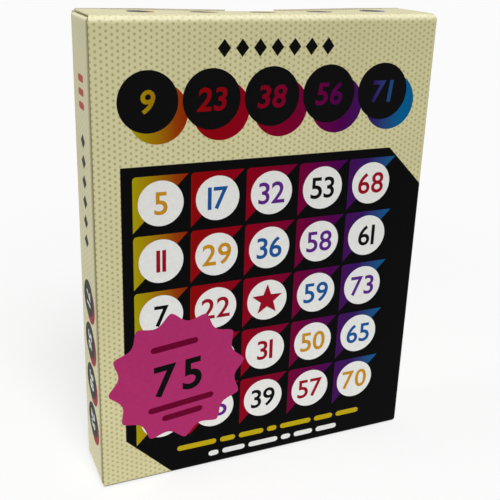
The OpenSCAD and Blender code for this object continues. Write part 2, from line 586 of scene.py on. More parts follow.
class Graph:
    """A material's node tree, with short ways to add to it."""

    grain_span: tuple[float, float] = (0.25, 0.75)

    def __init__(self, name: str) -> None:
        """Starts a material with its Principled shader.

        Args:
            name: Name of the material.
        """
        self.material = bpy.data.materials.new(name)
        self.material.use_nodes = True
        self.tree = self.material.node_tree
        self.shader = self.tree.nodes["Principled BSDF"]

    def node(self, kind: str) -> bpy.types.Node:
        """Adds a node."""
        return self.tree.nodes.new(kind)

    def feed(self, socket: bpy.types.NodeSocket, value: Any) -> None:
        """Links a signal or a socket to an input, or sets the input to a constant.

        Args:
            socket: The input.
            value: The signal, the socket or the constant.
        """
        if isinstance(value, Signal):
            self.tree.links.new(value.socket, socket)
        elif isinstance(value, bpy.types.NodeSocket):
            self.tree.links.new(value, socket)
        else:
            socket.default_value = value

    def set(self, **values: Any) -> None:
        """Feeds inputs of the shader, named with _ for a space."""
        for name, value in values.items():
            self.feed(self.shader.inputs[name.replace("_", " ")], value)

    def place(self) -> bpy.types.NodeSocket:
        """Object coordinates, which are the row frame's."""
        return self.node("ShaderNodeTexCoord").outputs["Object"]

    def split(self, vector: bpy.types.NodeSocket) -> list[Signal]:
        """The three numbers of a vector.

        Args:
            vector: Output that gives the vector.

        Returns:
            The numbers in order.
        """
        node = self.node("ShaderNodeSeparateXYZ")
        self.feed(node.inputs[0], vector)
        return [Signal(self, socket) for socket in node.outputs]

    def blank(self) -> list[Signal]:
        """The piece's own attribute.

        Returns:
            The places across and up the flat blank, and the scuff and painted light.
        """
        node = self.node("ShaderNodeAttribute")
        node.attribute_name = "blank"
        return self.split(node.outputs["Vector"])

    def noise(self, grain: Grain) -> Signal:
        """Noise on Object coordinates.

        Args:
            grain: The noise's measures.

        Returns:
            The noise, from 0 to 1 about 0.5.
        """
        mapping = self.node("ShaderNodeMapping")
        self.feed(mapping.inputs["Vector"], self.place())
        mapping.inputs["Scale"].default_value = grain.stretch
        node = self.node("ShaderNodeTexNoise")
        self.feed(node.inputs["Vector"], mapping.outputs["Vector"])
        node.inputs["Scale"].default_value = grain.scale
        node.inputs["Detail"].default_value = grain.detail
        return Signal(self, node.outputs[0])

    def mix(self, share: Signal, first: Any, second: Any) -> bpy.types.NodeSocket:
        """A colour between two: (1 - share) first + share second.

        Args:
            share: Share of the second colour, from 0 to 1.
            first: First colour or output.
            second: Second colour or output.

        Returns:
            Output that gives the colour.
        """
        node = self.node("ShaderNodeMix")
        node.data_type = "RGBA"
        self.feed(node.inputs[0], share)
        self.feed(node.inputs[6], first)
        self.feed(node.inputs[7], second)
        return node.outputs[2]

    def rough(self, grain: Signal, low: float, high: float) -> None:
        """Roughness between two levels by a noise."""
        self.set(Roughness=grain.ramp(*self.grain_span, low, high))

    def bump(self, height: Signal, strength: float, distance: float) -> None:
        """Bump on the shader from a height.

        Args:
            height: The height, from 0 to 1.
            strength: Share of the bump that shows.
            distance: Height of the bump.
        """
        node = self.node("ShaderNodeBump")
        self.feed(node.inputs["Height"], height)
        node.inputs["Strength"].default_value = strength
        node.inputs["Distance"].default_value = distance
        self.set(Normal=node.outputs["Normal"])


PRINT_GRAIN = Grain(900.0, 3.0)


@dataclass(frozen=True)
class PrintedBoard:
    """Coated face of the board: staggered dots on a pale ground, and a dark field on the front."""

    ground: Colour = (212, 206, 158)
    paler: Colour = (220, 214, 166)
    cloud: Grain = Grain(28.0)
    cloud_span: tuple[float, float] = (0.3, 0.7)
    dot: Colour = (176, 168, 110)
    column: float = 1.68 * MM
    pitch: float = 1.92 * MM
    dot_r: float = 0.4 * MM
    dot_soft: float = 0.24 * MM
    side_middles: tuple[float, float] = (71.1 * MM, 213.1 * MM)
    side_half: float = 11.3 * MM
    side_soft: float = 1 * MM
    side_share: float = 0.4
    field: Colour = InkColour.BLACK.value
    field_left: float = -51.4 * MM
    field_top: float = 114.6 * MM
    field_cuts: tuple[float, float] = (-34.2 * MM, 159.6 * MM)
    field_right: float = 61.2 * MM
    field_foot: float = -1.2 * MM
    field_soft: float = 0.07 * MM
    # Painted shade on the bend into the glue flap, along the seam.
    glue_line: Colour = (128, 120, 74)
    glue_span: Place = (222.0 * MM, 223.8 * MM, 224.6 * MM)
    glue_share: float = 0.75
    # Pale scuffed coating, which on the top creases is also a painted highlight.
    worn: Colour = (252, 247, 210)
    worn_ramp: tuple[float, ...] = (0.35, 0.65, 0.55, 0.85)
    # Painted shade along the bottom creases.
    soil: Colour = (24, 22, 14)
    specular: float = 0.35
    ink_specular: float = 0.02
    rough: tuple[float, float] = (0.37, 0.48)
    relief: tuple[float, float] = (0.08, 0.02 * MM)

    def material(self) -> bpy.types.Material:
        """The board's colours in order: ground, dots, painted shade at the seam, field, scuff with
        painted highlight, and painted shade.

        The bend into the glue flap is darker with painted shade along the seam. Over 0 the blank's
        third number bares the pale board, which on the front and side creases of the top is also a
        painted highlight, and under 0 it is painted shade along the creases of the bottom.

        Returns:
            The material.
        """
        graph = Graph("printed_board")
        across, up, wear = graph.blank()
        grain = graph.noise(PRINT_GRAIN)
        shade = graph.noise(self.cloud).ramp(*self.cloud_span)
        colour = graph.mix(shade, linear(self.ground), linear(self.paler))
        colour = graph.mix(self.dots(across, up), colour, linear(self.dot))
        # Painted shade: the bend into the glue flap is darkened along the seam.
        start, full, end = self.glue_span
        seam_bend_shaded = across.ramp(start, full, 0.0, self.glue_share) * across.math("LESS_THAN", end)
        colour = graph.mix(seam_bend_shaded, colour, linear(self.glue_line))
        inside = self.inside(across, up)
        colour = graph.mix(inside, colour, linear(self.field))
        # Scuffed coating, with a painted highlight on the top creases.
        scuffed_and_lit = wear.math("MAXIMUM", 0.0) * grain.ramp(*self.worn_ramp)
        colour = graph.mix(scuffed_and_lit, colour, linear(self.worn))
        # Painted shade on the bottom creases, where the third number is under 0.
        base_shaded = (-wear).math("MAXIMUM", 0.0)
        graph.set(
            Base_Color=graph.mix(base_shaded, colour, linear(self.soil)),
            Specular_IOR_Level=inside * (self.ink_specular - self.specular) + self.specular,
        )
        graph.rough(grain, *self.rough)
        graph.bump(grain, *self.relief)
        return graph.material

    def dots(self, across: Signal, up: Signal) -> Signal:
        """Dots by the distance from the nearest centre; every other column is half a pitch higher.

        The dots are fainter within a distance of the middles of the two side walls.

        Args:
            across: Place across the blank.
            up: Place up the blank.

        Returns:
            The share of a dot's colour.
        """
        columns = across / self.column
        off_x = (columns.math("FRACT") - 0.5) * self.column
        half = (columns.math("FLOOR") / 2.0).math("FRACT")
        off_z = ((up / self.pitch + half).math("FRACT") - 0.5) * self.pitch
        reach = (off_x * off_x + off_z * off_z).math("SQRT")
        dots = reach.ramp(self.dot_r + self.dot_soft, self.dot_r - self.dot_soft)
        right, left = ((across - middle).math("ABSOLUTE") for middle in self.side_middles)
        near = right.math("MINIMUM", left)
        return dots * near.ramp(self.side_half, self.side_half + self.side_soft, self.side_share)

    def inside(self, across: Signal, up: Signal) -> Signal:
        """The field by the distance over its farthest edge.

        Its edges are x = left, z = top and, for the two cut corners, x + z = cut.

        Args:
            across: Place across the blank.
            up: Place up the blank.

        Returns:
            The share of the field's colour.
        """
        left = -across + self.field_left
        over = up - self.field_top
        slant = (across + up) * math.sqrt(0.5)
        low, high = (cut * math.sqrt(0.5) for cut in self.field_cuts)
        cut = (slant - high).math("MAXIMUM", -slant + low)
        inside = left.math("MAXIMUM", over).math("MAXIMUM", cut).ramp(self.field_soft, -self.field_soft)
        inside = inside * across.math("LESS_THAN", self.field_right)
        return inside * up.math("GREATER_THAN", self.field_foot)


@dataclass(frozen=True)
class PlainBoard:
    """Uncoated back of the board: pale grey pulp with flecks and a faint lay of the fibres."""

    pulp: Colour = (214, 206, 190)
    shade: Colour = (196, 187, 168)
    fibre: Grain = Grain(1400.0, 4.0, (1.0, 1.0, 0.16))
    fibre_span: tuple[float, float] = (0.3, 0.7)
    fleck: Colour = (158, 146, 124)
    flecks: Grain = Grain(2600.0)
    fleck_ramp: tuple[float, ...] = (0.66, 0.74, 0.0, 0.6)
    rough: float = 0.88
    specular: float = 0.2
    relief: tuple[float, float] = (0.25, 0.03 * MM)

    def material(self) -> bpy.types.Material:
        """Fibres from noise drawn out along the height, flecks from the peaks of another.

        Returns:
            The material.
        """
        graph = Graph("plain_board")
        fibre = graph.noise(self.fibre)
        fleck = graph.noise(self.flecks).ramp(*self.fleck_ramp)
        colour = graph.mix(fibre.ramp(*self.fibre_span), linear(self.shade), linear(self.pulp))
        colour = graph.mix(fleck, colour, linear(self.fleck))
        graph.set(Base_Color=colour, Roughness=self.rough, Specular_IOR_Level=self.specular)
        graph.bump(fibre, *self.relief)
        return graph.material


@dataclass(frozen=True)
class CutBoard:
    """Cut edge of the board: grey-brown plies."""

    name: str = "cut_board"
    light: Colour = (222, 213, 178)
    dark: Colour = (184, 174, 138)
    plies: Grain = Grain(3600.0, 4.0)
    plies_span: tuple[float, float] = (0.3, 0.7)
    rough: float = 0.95
    specular: float = 0.1
    relief: tuple[float, float] = (0.3, 0.03 * MM)

    def material(self) -> bpy.types.Material:
        """Plies from coarse noise, with a rough face.

        Returns:
            The material.
        """
        graph = Graph(self.name)
        plies = graph.noise(self.plies)
        colour = graph.mix(plies.ramp(*self.plies_span), linear(self.dark), linear(self.light))
        graph.set(Base_Color=colour, Roughness=self.rough, Specular_IOR_Level=self.specular)
        graph.bump(plies, *self.relief)
        return graph.material


@dataclass(frozen=True)
class PlainInk:
    """One flat ink with the faint mottle of print on board."""

    colour: InkColour
    thin_gain: float = 1.02
    thin_lift: int = 2
    mottle_span: tuple[float, float] = (0.3, 0.75)
    specular: float = 0.03
    rough: tuple[float, float] = (0.35, 0.46)

    def material(self) -> bpy.types.Material:
        """Mottle from fine noise, a little lighter where the ink is thin.

        Returns:
            The material.
        """
        graph = Graph("ink_" + self.colour.name.lower())
        grain = graph.noise(PRINT_GRAIN)
        thin = tuple(min(255, int(level * self.thin_gain) + self.thin_lift) for level in self.colour.value)
        colour = graph.mix(grain.ramp(*self.mottle_span), linear(self.colour.value), linear(thin))
        graph.set(Base_Color=colour, Specular_IOR_Level=self.specular)
        graph.rough(grain, *self.rough)
        return graph.material


@dataclass(frozen=True)
class BlendedInk:
    """Ink that runs through the hues from left to right, as printed from a split duct."""

    span: float = 48 * MM
    hues: tuple[tuple[float, Colour], ...] = (
        (0.0, (170, 158, 8)),
        (0.08, (162, 118, 8)),
        (0.15, (148, 62, 8)),
        (0.21, (144, 8, 10)),
        (0.42, (140, 2, 28)),
        (0.6, (118, 2, 50)),
        (0.76, (78, 4, 80)),
        (0.88, (52, 26, 98)),
        (1.0, (6, 96, 148)),
    )
    specular: float = 0.03
    rough: tuple[float, float] = (0.36, 0.46)

    def material(self) -> bpy.types.Material:
        """Hue by the place along X, straight from one hue to the next.

        Returns:
            The material.
        """
        graph = Graph("ink_blended")
        across = graph.split(graph.place())[0]
        ramp = graph.node("ShaderNodeValToRGB")
        graph.feed(ramp.inputs[0], (across + self.span) / (2 * self.span))
        marks = ramp.color_ramp.elements
        while len(marks) < len(self.hues):
            marks.new(1.0)
        for mark, (place, colour) in zip(marks, self.hues):
            mark.position = place
            mark.color = linear(colour)
        graph.set(Base_Color=ramp.outputs["Color"], Specular_IOR_Level=self.specular)
        graph.rough(graph.noise(PRINT_GRAIN), *self.rough)
        return graph.material


@dataclass(frozen=True)
class CardStock:
    """Smooth white card, each card of the deck a little different in tone."""

    first: Colour = (238, 235, 226)
    second: Colour = (222, 217, 204)
    pitch: float = 0.6 * MM
    offset: float = 1.0
    card_share: float = 0.7
    fibre: Grain = Grain(1800.0, 3.0)
    rough: float = 0.6
    specular: float = 0.3
    relief: tuple[float, float] = (0.1, 0.02 * MM)

    def material(self) -> bpy.types.Material:
        """Tone by the number of the card along the depth, with fine fibres.

        Returns:
            The material.
        """
        graph = Graph("card_stock")
        depth = graph.split(graph.place())[1]
        chance = graph.node("ShaderNodeTexWhiteNoise")
        chance.noise_dimensions = "1D"
        graph.feed(chance.inputs["W"], ((depth + self.offset) / self.pitch).math("FLOOR"))
        fibre = graph.noise(self.fibre)
        tone = Signal(graph, chance.outputs["Value"]) * self.card_share + fibre * (1.0 - self.card_share)
        colour = graph.mix(tone, linear(self.first), linear(self.second))
        graph.set(Base_Color=colour, Roughness=self.rough, Specular_IOR_Level=self.specular)
        graph.bump(fibre, *self.relief)
        return graph.material


@dataclass(frozen=True)
class ScratchFilm:
    """Silver scratch-off film with a fine print of slanted lines."""

    silver: Colour = (170, 172, 176)
    line: Colour = (132, 134, 140)
    pitch: float = 1.6 * MM
    line_span: tuple[float, float] = (0.2, 0.12)
    grain: Grain = Grain(1500.0, 3.0)
    metallic: float = 0.45
    rough: tuple[float, float] = (0.4, 0.55)

    def material(self) -> bpy.types.Material:
        """Lines by the share of a pitch along the diagonal.

        Returns:
            The material.
        """
        graph = Graph("scratch_film")
        across, _, up = graph.split(graph.place())
        share = ((across + up) / self.pitch).math("FRACT")
        line = (share - 0.5).math("ABSOLUTE").ramp(*self.line_span)
        colour = graph.mix(line, linear(self.silver), linear(self.line))
        graph.set(Base_Color=colour, Metallic=self.metallic)
        graph.rough(graph.noise(self.grain), *self.rough)
        return graph.material


@dataclass(frozen=True)
class BoardFinish:
    """The materials of a sheet of board, in the order of its slots, and that of the seam's edge with
    painted shade.
    """

    printed: bpy.types.Material
    plain: bpy.types.Material
    cut: bpy.types.Material
    seam: bpy.types.Material

    @classmethod
    def make(cls) -> "BoardFinish":
        """Makes the materials.

        Returns:
            The finish, with the seam's edge darker than the other edges: painted shade.
        """
        # The seam's edge is near black: painted shade for the shadow in the gap along the seam.
        seam = CutBoard("seam_edge", light=(48, 42, 28), dark=(28, 24, 15))
        kinds = (PrintedBoard(), PlainBoard(), CutBoard(), seam)
        return cls(*(kind.material() for kind in kinds))

    def piece(self, name: str, *sheets: Sheet, seam: bool = False) -> bpy.types.Object:
        """One piece of board from one or more sheets.

        Args:
            name: Name of the piece.
            sheets: The sheets, each a closed shell.
            seam: Whether its edge is the seam's, darker with painted shade.

        Returns:
            The object, which rides on nothing yet.
        """
        points, blanks, faces, slots = [], [], [], []
        count = 0
        for sheet in sheets:
            quads, kinds = sheet.shell()
            points += [sheet.printed.reshape(-1, 3), sheet.plain.reshape(-1, 3)]
            blanks += [sheet.blank.reshape(-1, 3)] * 2
            faces.append(quads + count)
            slots.append(kinds)
            count += 2 * sheet.blank.size // 3
        piece = make_piece(
            name,
            np.concatenate(points),
            np.concatenate(faces),
            np.concatenate(slots),
            (self.printed, self.plain, self.seam if seam else self.cut),
            np.concatenate(blanks),
        )
        return piece


@dataclass(frozen=True)
class Sleeve:
    """The four walls of the carton and the glue flap, one board wrapped round the deck."""

    finish: BoardFinish
    sizes: CartonSizes = SIZES
    rows: int = 9
    notch_points: int = 25
    bend_slack: float = MM / 1e4

    @property
    def ear_reach(self) -> float:
        """Length over which a side wall rises beside a dust crease."""
        return self.sizes.crease_gap / 4

    def build(self) -> None:
        """Makes the five panels, each from its part of the wrap, in order round the carton."""
        s = self.sizes
        bend = Leg(s.quarter / 2, 45.0)
        half = s.crease_r * math.sqrt(0.5)
        side = s.depth - 2 * s.crease_r
        seam_x = -s.width / 2 + s.seam_inset
        edge = s.bend_x + half
        low, high = s.front_y + s.crease_r - half, s.back_y - s.crease_r + half
        glue_low = s.glue_y + s.crease_r - half
        plans = (
            (Wall.FRONT, (seam_x, s.front_y), 0.0, (Leg(s.bend_x - seam_x), bend)),
            (Wall.RIGHT, (edge, low), 45.0, (bend, Leg(side), bend)),
            (Wall.BACK, (edge, high), 135.0, (bend, Leg(2 * s.bend_x), bend)),
            (Wall.LEFT, (-edge, high), 225.0, (bend, Leg(side - s.board), bend)),
            (Wall.GLUE, (-edge, glue_low), 315.0, (bend, Leg(s.glue_w - s.crease_r))),
        )
        share = np.linspace(0.0, 1.0, self.rows)[:, None]
        blank_from = seam_x
        for wall, start, heading, legs in plans:
            path = Path(start, heading, legs, Outside.RIGHT)
            runs = path.stations(0, len(legs) - 1, self.cuts(wall, path))
            foot, head = self.reach(wall, path.at(runs)[0])
            sheet = Sheet.lay(path, runs, foot + share * (head - foot), Sweep.Z, blank_from)
            # The front panel's cut edges take the seam's painted shade.
            piece = self.finish.piece(f"{wall.name.lower()}_board", sheet, seam=wall is Wall.FRONT)
            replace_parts(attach(piece, "sleeve"), wall.value)
            blank_from += path.ends[-1]

    def cuts(self, wall: Wall, path: Path) -> np.ndarray:
        """Distances along a wall at which its ends change height: the notch and the dust creases.

        Args:
            wall: The wall.
            path: Its path in plan.

        Returns:
            The distances, none for a wall with straight ends.
        """
        s = self.sizes
        if wall is Wall.BACK:
            turn = np.linspace(0.0, math.pi, self.notch_points)
            return path.ends[1] + s.bend_x - s.thumb_r * np.cos(turn)
        if wall in (Wall.LEFT, Wall.RIGHT):
            near, far = s.dust_span
            places = np.array([near - self.ear_reach, near, far, far + self.ear_reach])
            start = path.ends[1] + s.back_y - s.crease_r
            return start - places if wall is Wall.LEFT else start + places
        return np.zeros(0)

    def reach(self, wall: Wall, plan: np.ndarray) -> tuple[np.ndarray, np.ndarray]:
        """Heights of a wall's foot and head over its plan.

        The side walls stop at the dust creases and stand up beside them. The back's head follows
        the lid's sag, and its notch is a half circle, sqrt(r^2 - x^2). The glue flap's ends slant.

        Args:
            wall: The wall.
            plan: Points of the wall in plan.

        Returns:
            The lowest and the highest place at each point.
        """
        s = self.sizes
        x, y = plan[:, 0], plan[:, 1]
        if wall is Wall.FRONT:
            return np.full(len(x), s.crease_r), np.full(len(x), s.height - s.front_r)
        if wall is Wall.BACK:
            foot = np.where(np.abs(x) > s.bend_x + self.bend_slack, s.board + s.lid_gap, 0.0)
            notch = np.sqrt(np.clip(s.thumb_r**2 - x**2, 0.0, None))
            bow = s.lid_sag * bulge(x, s.lid_half) - s.back_over
            return foot, s.height - np.maximum(foot, bow) - notch
        if wall is Wall.GLUE:
            slant = math.tan(math.radians(s.glue_slant))
            foot = s.glue_end + np.clip(x + s.bend_x, 0.0, None) * slant
        else:
            near, far = s.dust_span
            places = [near - self.ear_reach, near, far, far + self.ear_reach]
            foot = s.height - s.side_top - np.interp(y, places, [s.ear, 0.0, 0.0, s.ear])
        return foot, s.height - foot


@dataclass(frozen=True)
class Closure:
    """One end of the carton: lid, tuck flap, two dust flaps and the creases that carry them.

    Every sheet is drawn at the top, and those of the bottom are mirrored to the foot.
    """

    finish: BoardFinish
    end: End
    sizes: CartonSizes = SIZES
    columns: int = 33
    lid_steps: int = 14
    front_points: int = 7
    rear_points: int = 4
    tab_rows: int = 9
    tab_columns: int = 5
    tuck_rows: int = 7
    tuck_points: int = 13
    dust_columns: int = 9
    dust_steps: int = 8
    corner_steps: int = 8
    corner_turn: float = 60.0
    corner_open: float = 0.07
    top_trim: tuple[float, float] = (0.15 * MM, 0.7 * MM)
    bottom_trim: tuple[float, float] = (1.0 * MM, 0.7 * MM)
    # Scuff on the tuck creases, and scuff with a painted highlight on the top dust creases.
    fold_wear: float = 0.7
    # Painted shade along the bottom's front and dust creases.
    soil_from: float = 0.15
    soil_soft: float = 0.4
    soil_share: float = 0.8
    blend_inset: float = 0.001 * MM

    @property
    def bend_r(self) -> float:
        """Radius of the bend between the front and the lid, which is softer at the top."""
        return self.sizes.front_r if self.end is End.TOP else self.sizes.crease_r

    @property
    def blank_from(self) -> float:
        """Place on the flat blank at which the front crease starts."""
        return self.sizes.height - self.bend_r

    @property
    def corner_trim(self) -> tuple[float, float]:
        """How far the lid's front corners are drawn in, on the left and on the right."""
        return self.top_trim if self.end is End.TOP else self.bottom_trim

    @property
    def path(self) -> Path:
        """Front crease, lid, tuck crease and tuck flap, in section across the depth.

        Returns:
            The path, whose four legs are these in order.
        """
        s = self.sizes
        fold = 90.0 + s.tuck_lean
        legs = (
            Leg(self.bend_r * math.pi / 2, -90.0),
            Leg(s.lid_rear - s.crease_r - s.front_y - self.bend_r),
            Leg(s.crease_r * math.radians(fold), -fold),
            Leg(s.tuck_l - s.crease_r),
        )
        return Path((s.front_y, s.height - self.bend_r), 90.0, legs, Outside.LEFT)

    def build(self) -> None:
        """Makes the pieces of this end and says what carries the lid, the tuck flap and the dust flaps."""
        lid, tuck = f"{self.end.value}_lid", f"{self.end.value}_tuck_flap"
        piece = self.finish.piece(f"{lid}_board", *(self.turned(part) for part in self.lid()))
        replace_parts(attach(piece, lid), lid)
        piece = self.finish.piece(f"{tuck}_board", self.turned(self.tuck_flap()))
        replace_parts(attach(piece, tuck), tuck)
        ends = self.path.ends
        self.crease(f"{self.end.value}_front_crease", self.front_crease(), ("sleeve", lid), ends[:2])
        self.crease(f"{self.end.value}_tuck_crease", self.tuck_crease(), (lid, tuck), ends[2:4])
        for side in Side:
            self.dust_flap(side)

    def turned(self, sheet: Sheet) -> Sheet:
        """A sheet drawn at the top, or mirrored to the foot."""
        return sheet if self.end is End.TOP else sheet.mirrored(2, self.sizes.height)

    def crease(self, name: str, sheet: Sheet, bodies: tuple[str, str], span: np.ndarray) -> None:
        """Makes a crease over a stretch of the lid's path.

        Args:
            name: Name of the piece.
            sheet: Its sheet, drawn at the top.
            bodies: The body before the crease and the one after it; not used.
            span: Distances along the path at which the crease starts and ends.
        """
        piece = self.finish.piece(name, self.turned(sheet))
        places, _ = self.path.at(span + np.array([self.blend_inset, -self.blend_inset]))
        if self.end is End.BOTTOM:
            places[:, 1] = self.sizes.height - places[:, 1]
        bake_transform(piece)

    def wear(self, rise: np.ndarray, share: float) -> np.ndarray:
        """Scuff and painted light over the angle up a crease: share sin^2(2 a) of scuff and painted
        highlight at the top, painted shade past an angle at the foot.

        Args:
            rise: The angle up the crease, in radians.
            share: The most that the coating is scuffed and lightened with painted highlight.

        Returns:
            The scuff and painted highlight over 0 at the top, and the painted shade under 0 at the foot.
        """
        # Scuff with a painted highlight at the top; painted shade under the creases at the foot.
        if self.end is End.TOP:
            return share * np.sin(2.0 * rise) ** 2
        return -self.soil_share * smooth((rise - self.soil_from) / self.soil_soft)

    def drop(self, run: np.ndarray, x: np.ndarray) -> np.ndarray:
        """Sag of the top lid: sag (1 - (x / half)^2)^2, growing smoothly from its crease to its rear.

        Args:
            run: Distances along the lid's path.
            x: Places across.

        Returns:
            The drops, which are 0 for the bottom lid.
        """
        s = self.sizes
        start, rear = self.path.ends[1:3]
        depth = s.lid_sag if self.end is End.TOP else 0.0
        return depth * smooth((run - start) / (rear - start)) * bulge(x, s.lid_half)

    def front_crease(self) -> Sheet:
        """Quarter-round bend from the front to the lid, with a round corner on the right.

        Past the upright bend's centre the section turns about it: x = c + r cos a sin f and
        y = d - R cos a + r cos a (1 - cos f), where a is the angle up the bend, f the turn, R the
        radius of this bend and r that of the upright one.

        Returns:
            The sheet, drawn at the top.
        """
        s = self.sizes
        runs = self.path.stations(0, 0)[:, None]
        rise = runs / self.bend_r
        drawn = s.lid_inset - s.seam_inset + self.corner_trim[0]
        left = -s.width / 2 + s.seam_inset + drawn * np.sin(rise) ** 2
        share = np.linspace(0.0, 1.0, self.columns)
        turn = np.radians(np.linspace(0.0, self.corner_turn, self.corner_steps + 1))[1:]
        corner_x = np.full((len(runs), turn.size), s.bend_x)
        x = np.concatenate([left + share * (s.bend_x - left), corner_x], 1)
        # Scuff with a painted highlight on the top crease, painted shade on the bottom one.
        sheet = Sheet.lay(self.path, runs, x, Sweep.X, self.blank_from, self.wear(rise, 1.0))
        angle = rise * (1.0 - self.corner_open * turn / turn.max())
        for points, depth in ((sheet.printed, s.ink), (sheet.plain, s.board)):
            large, small = self.bend_r - depth, (s.crease_r - depth) * np.cos(angle)
            corner = points[:, self.columns :]
            corner[..., 0] = s.bend_x + small * np.sin(turn)
            corner[..., 1] = s.front_y + self.bend_r - large * np.cos(angle) + small * (1.0 - np.cos(turn))
            corner[..., 2] = s.height - self.bend_r + large * np.sin(angle)
        sheet.blank[:, self.columns :, 0] += s.crease_r * turn
        return sheet

    def lid(self) -> list[Sheet]:
        """The lid's plate with rounded corners, and the lock tab past each slit.

        Returns:
            The plate, the right tab and the left tab, drawn at the top.
        """
        s = self.sizes
        path = self.path
        start, rear = path.ends[1:3]
        round_start = start + s.lid_rear - s.lid_corner_r - s.front_y - self.bend_r
        front_cuts = np.linspace(start, start + s.crease_r, self.front_points)
        rear_cuts = np.linspace(round_start, rear, self.rear_points)
        runs = path.stations(1, 1, (*front_cuts, *rear_cuts), self.lid_steps)[:, None]
        left, right = (self.half_width(runs, side) for side in Side)
        plate = self.flat(runs, (left + right) * np.linspace(0.0, 1.0, self.columns) - left)
        tab_runs = np.linspace(rear, rear + s.crease_r, self.tab_rows)[:, None]
        inner = s.tuck_half + s.slit_w
        outer = self.half_width(tab_runs, Side.RIGHT)
        tab = self.flat(tab_runs, inner + np.linspace(0.0, 1.0, self.tab_columns) * (outer - inner))
        return [plate, tab, tab.mirrored(0)]

    def half_width(self, run: np.ndarray, side: Side) -> np.ndarray:
        """Half the lid's width along its path, drawn in at the front corner and round at the rear.

        The front corner is drawn in by its trim times (1 - t)^2 over the length of a crease.

        Args:
            run: Distances along the lid's path.
            side: The side of the lid.

        Returns:
            The half width at each distance.
        """
        s = self.sizes
        start = self.path.ends[1]
        front = np.clip(1.0 - (run - start) / s.crease_r, 0.0, 1.0)
        straight = s.lid_rear - s.lid_corner_r - s.front_y - self.bend_r
        rear = corner_fall(run - start - straight, s.lid_corner_r)
        return s.lid_half - self.corner_trim[side is Side.RIGHT] * front**2 - rear

    def flat(self, run: np.ndarray, x: np.ndarray) -> Sheet:
        """A flat part of the lid, with its sag.

        Args:
            run: Distances along the lid's path.
            x: Places across.

        Returns:
            The sheet, drawn at the top.
        """
        s = self.sizes
        plane = Path((s.front_y + self.bend_r, s.height), 0.0, (Leg(s.depth),), Outside.LEFT)
        start = self.path.ends[1]
        sheet = Sheet.lay(plane, run - start, x, Sweep.X, self.blank_from + start)
        return sheet.lowered(self.drop(run, x))

    def tuck_crease(self) -> Sheet:
        """Bend from the lid into the tuck flap, between the lock slits, lightened by sin^2 over its
        length.

        Returns:
            The sheet, drawn at the top.
        """
        s = self.sizes
        run = self.path.stations(2, 2)[:, None]
        x = np.linspace(-s.tuck_half, s.tuck_half, self.columns)
        wear = self.fold_wear * np.sin(np.linspace(0.0, math.pi, len(run)))[:, None] ** 2
        sheet = Sheet.lay(self.path, run, x, Sweep.X, self.blank_from, wear)
        return sheet.lowered(self.drop(run, x))

    def tuck_flap(self) -> Sheet:
        """The tuck flap, with its free corners round: its length falls by r (1 - cos t) over the ends.

        Returns:
            The sheet, drawn at the top.
        """
        s = self.sizes
        turn = np.linspace(0.0, math.pi / 2, self.tuck_points)
        straight = s.tuck_half - s.tuck_corner_r
        ends = straight + s.tuck_corner_r * np.sin(turn)
        middle = np.linspace(-straight, straight, self.tuck_points)[1:-1]
        x = np.concatenate([-ends[::-1], middle, ends])
        length = s.tuck_l - s.crease_r - corner_fall(np.abs(x) - straight, s.tuck_corner_r)
        run = self.path.ends[3] + np.linspace(0.0, 1.0, self.tuck_rows)[:, None] * length
        sheet = Sheet.lay(self.path, run, x, Sweep.X, self.blank_from)
        return sheet.lowered(self.drop(run, x))

    def dust_flap(self, side: Side) -> None:
        """Makes a dust flap and its crease.

        Args:
            side: The side of the carton.
        """
        s = self.sizes
        name = f"{self.end.value}_{side.name.lower()}_dust_flap"
        crease, flap = self.dust_sheets(side)
        piece = self.finish.piece(f"{name}_board", self.turned(flap))
        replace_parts(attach(piece, name), name)
        piece = self.finish.piece(f"{name}_crease", self.turned(crease))
        foot = Vector((side.value * s.width / 2, 0.0, s.side_top))
        head = Vector((side.value * s.bend_x, 0.0, s.side_top + s.crease_r))
        if self.end is End.BOTTOM:
            foot.z, head.z = s.height - foot.z, s.height - head.z
        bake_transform(piece)

    def dust_sheets(self, side: Side) -> tuple[Sheet, Sheet]:
        """A dust flap's crease, and the flap with its slanted front edge and its shoulder.

        The front edge runs straight from the crease to the tip. The rear edge runs straight to the
        shoulder, steps in, and runs straight on to the tip.

        Args:
            side: The side of the carton.

        Returns:
            The crease and the flap, drawn at the top.
        """
        s = self.sizes
        free = s.dust_l - s.crease_r
        legs = (Leg(s.quarter, -90.0), Leg(free))
        path = Path((-s.width / 2, s.side_top), 90.0, legs, Outside.LEFT)
        near, far = s.dust_span
        share = np.linspace(0.0, 1.0, self.dust_columns)
        bend = path.stations(0, 0)[:, None]
        # Scuff with a painted highlight on the top dust creases, painted shade on the bottom ones.
        wear = self.wear(bend / s.crease_r, self.fold_wear)
        crease = Sheet.lay(path, bend, near + share * (far - near), Sweep.Y, s.side_top, wear)
        step = s.shoulder_l + s.shoulder_step
        front_tip = near + free * math.tan(math.radians(s.dust_slant))
        inner = far - s.shoulder_step
        rear_tip = inner - (s.dust_l - step) * math.tan(math.radians(s.rear_slant))
        reach = path.ends[1] - s.crease_r
        run = path.stations(1, 1, (reach + s.shoulder_l, reach + step), self.dust_steps)[:, None]
        out = run - reach
        low = np.interp(out, [s.crease_r, s.dust_l], [near, front_tip])
        high = np.interp(out, [s.crease_r, s.shoulder_l, step, s.dust_l], [far, far, inner, rear_tip])
        flap = Sheet.lay(path, run, low + share * (high - low), Sweep.Y, s.side_top)
        for sheet in (crease, flap):
            sheet.blank[..., 0] *= side.value
            sheet.blank[..., 0] += PrintedBoard.side_middles[side is Side.LEFT]
        if side is Side.RIGHT:
            crease, flap = crease.mirrored(0), flap.mirrored(0)
        return crease, flap


